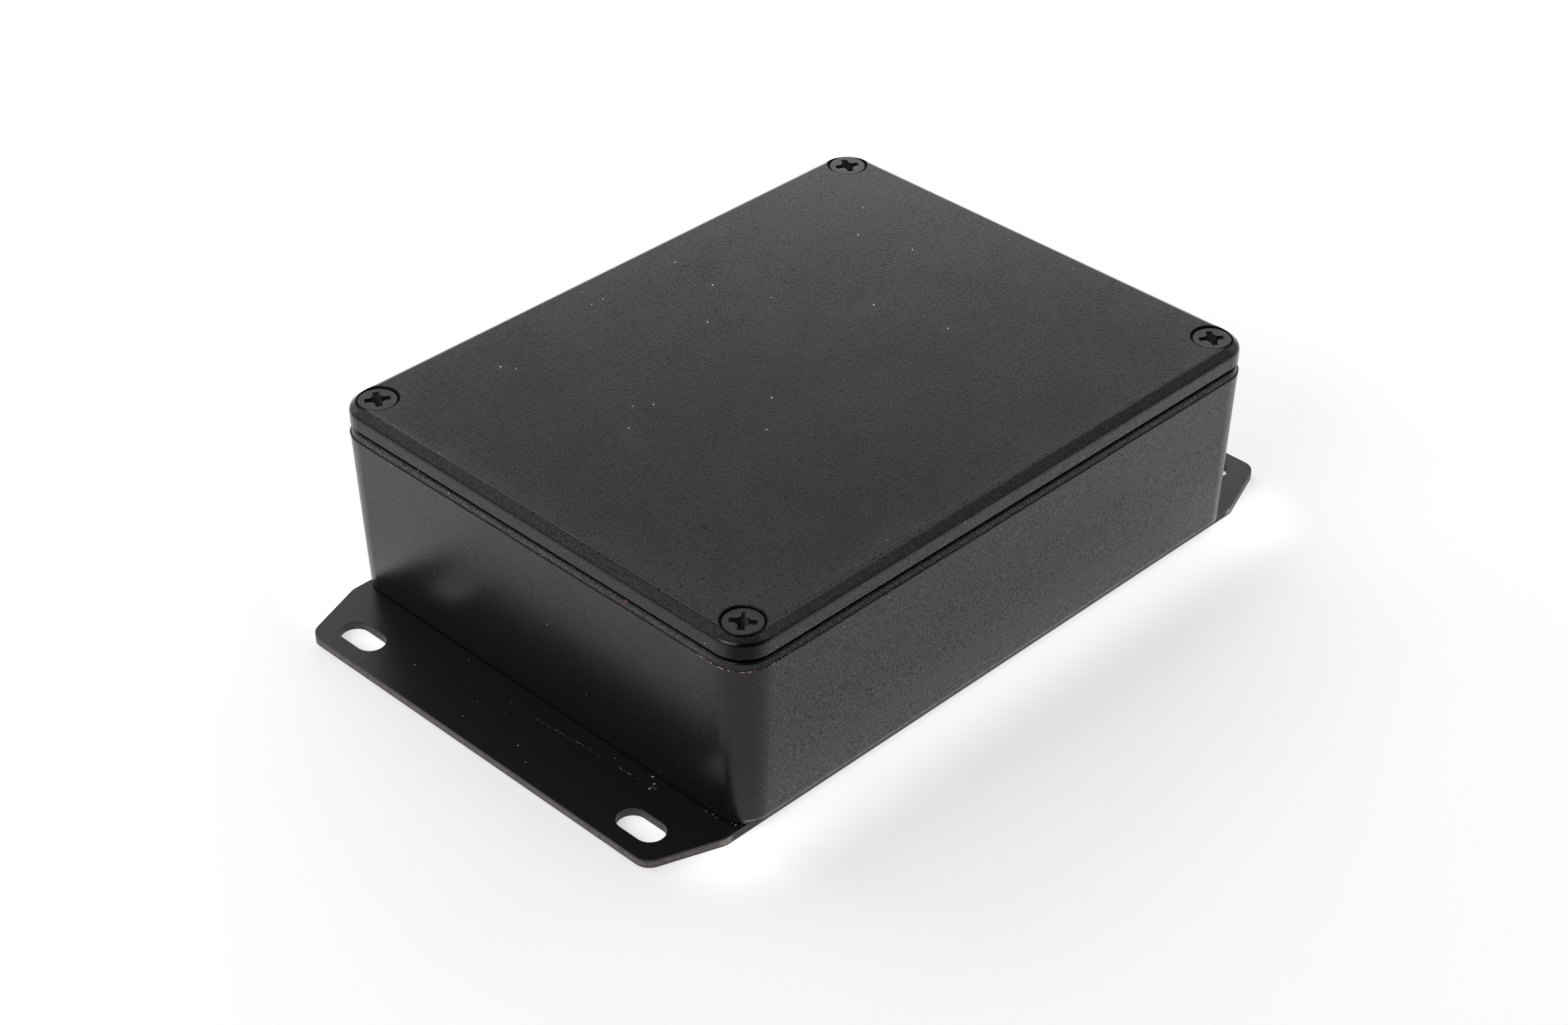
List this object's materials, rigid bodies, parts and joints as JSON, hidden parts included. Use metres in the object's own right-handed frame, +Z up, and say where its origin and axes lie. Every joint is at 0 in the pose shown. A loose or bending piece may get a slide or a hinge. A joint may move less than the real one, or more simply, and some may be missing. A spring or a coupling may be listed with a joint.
{
  "type": "die cast enclosure",
  "caption": "Rectangular black-coated die cast aluminium box with a bevelled screw-down lid and a flat slotted mounting plate fixed under it, for housing electronics.",
  "frame": {"origin": "centre of the mounting plate's underside", "axes": "+Z up out of the lid, +Y along the box from flange to flange, +X across it, along the mounting slots"},
  "size_m": [0.0942, 0.1476, 0.0378],
  "materials": {
    "black_coat": "satin black powder coat with a fine grain, on cast aluminium",
    "plate_coat": "satin black powder coat on sheet aluminium",
    "screw_steel": "black oxide steel, satin",
    "rivet_metal": "plain aluminium, satin"
  },
  "bodies": {
    "base": {"body": "black_coat", "flange_plate": "plate_coat", "plate_rivets": "rivet_metal"},
    "cover": {"lid": "black_coat", "lid_screws": "screw_steel"}
  },
  "joints": [
    {"name": "lid_lift", "type": "slide", "parent": "base", "child": "cover", "axis": [0, 0, 1], "range_m": [0, 0.06]}
  ]
}
